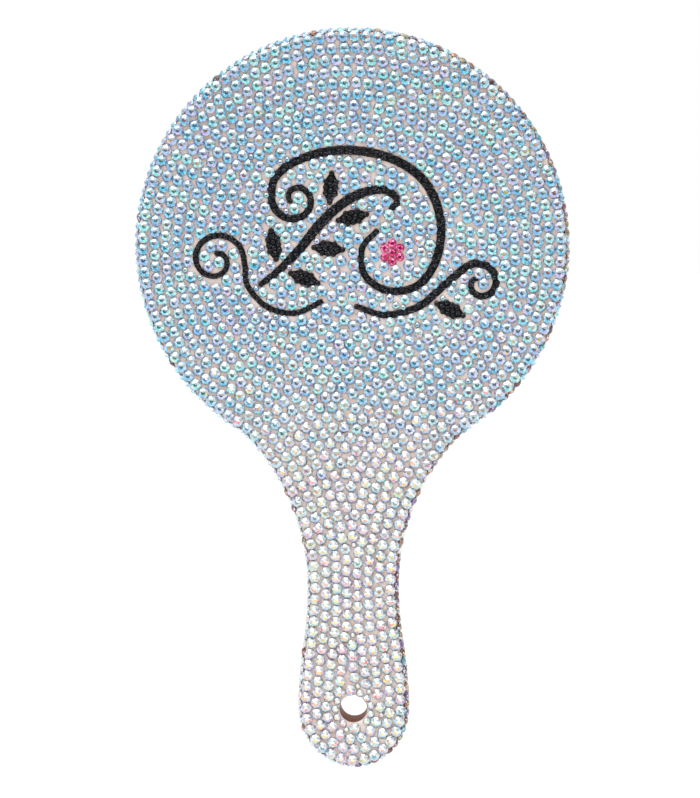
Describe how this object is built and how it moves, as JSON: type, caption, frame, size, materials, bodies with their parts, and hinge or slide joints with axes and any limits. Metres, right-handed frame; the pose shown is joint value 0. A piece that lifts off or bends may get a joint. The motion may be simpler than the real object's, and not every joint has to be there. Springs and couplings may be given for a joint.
{
  "type": "hand mirror",
  "caption": "Round-headed wooden paddle hand mirror, its back and edge covered with faceted rhinestones, with a black scroll, a pink flower and a hang hole.",
  "frame": {"origin": "middle of the grip, on the paddle's mid plane and centre line", "axes": "+Z from the handle to the head, -Y out of the decorated back, +Y out of the mirror, +X to the right seen from the decorated back"},
  "size_m": [0.1544, 0.0113, 0.2666],
  "materials": {
    "stained_wood": "dark reddish-brown stain, satin",
    "mirror_glass": "polished, bevelled edge",
    "silvering": "silver layer with grey backing paint",
    "foam_tape": "white closed-cell foam tape",
    "glue": "cured clear jewellery glue over the stain, warm beige",
    "ab_crystal": "foil-backed faceted crystal with an iridescent coating",
    "black_crystal": "opaque black faceted glass",
    "pink_crystal": "foil-backed pink faceted crystal"
  },
  "bodies": {
    "root": {"paddle_body": "stained_wood", "mirror_glass": "mirror_glass", "mirror_silvering": "silvering", "mirror_foam_tape": "foam_tape", "back_glue_coat": "glue", "head_stone_field": "ab_crystal", "neck_stone_field": "ab_crystal", "handle_stone_field": "ab_crystal", "rim_stones_head": "ab_crystal", "rim_stones_end": "ab_crystal", "rim_stones_left": "ab_crystal", "rim_stones_right": "ab_crystal", "hang_hole_stone_1": "ab_crystal", "hang_hole_stone_2": "ab_crystal", "hang_hole_stone_3": "ab_crystal", "hang_hole_stone_4": "ab_crystal", "hang_hole_stone_5": "ab_crystal", "hang_hole_stone_6": "ab_crystal", "hang_hole_stone_7": "ab_crystal", "hang_hole_stone_8": "ab_crystal", "hang_hole_stone_9": "ab_crystal", "scroll_sweep": "black_crystal", "scroll_vine": "black_crystal", "scroll_leaf_1": "black_crystal", "scroll_leaf_2": "black_crystal", "scroll_leaf_3": "black_crystal", "scroll_leaf_4": "black_crystal", "scroll_leaf_5": "black_crystal", "scroll_leaf_6": "black_crystal", "scroll_left_curl": "black_crystal", "scroll_right_tendril": "black_crystal", "flower_centre_stone": "pink_crystal", "flower_petal_stone_1": "pink_crystal", "flower_petal_stone_2": "pink_crystal", "flower_petal_stone_3": "pink_crystal", "flower_petal_stone_4": "pink_crystal", "flower_petal_stone_5": "pink_crystal", "flower_petal_stone_6": "pink_crystal"}
  },
  "joints": []
}
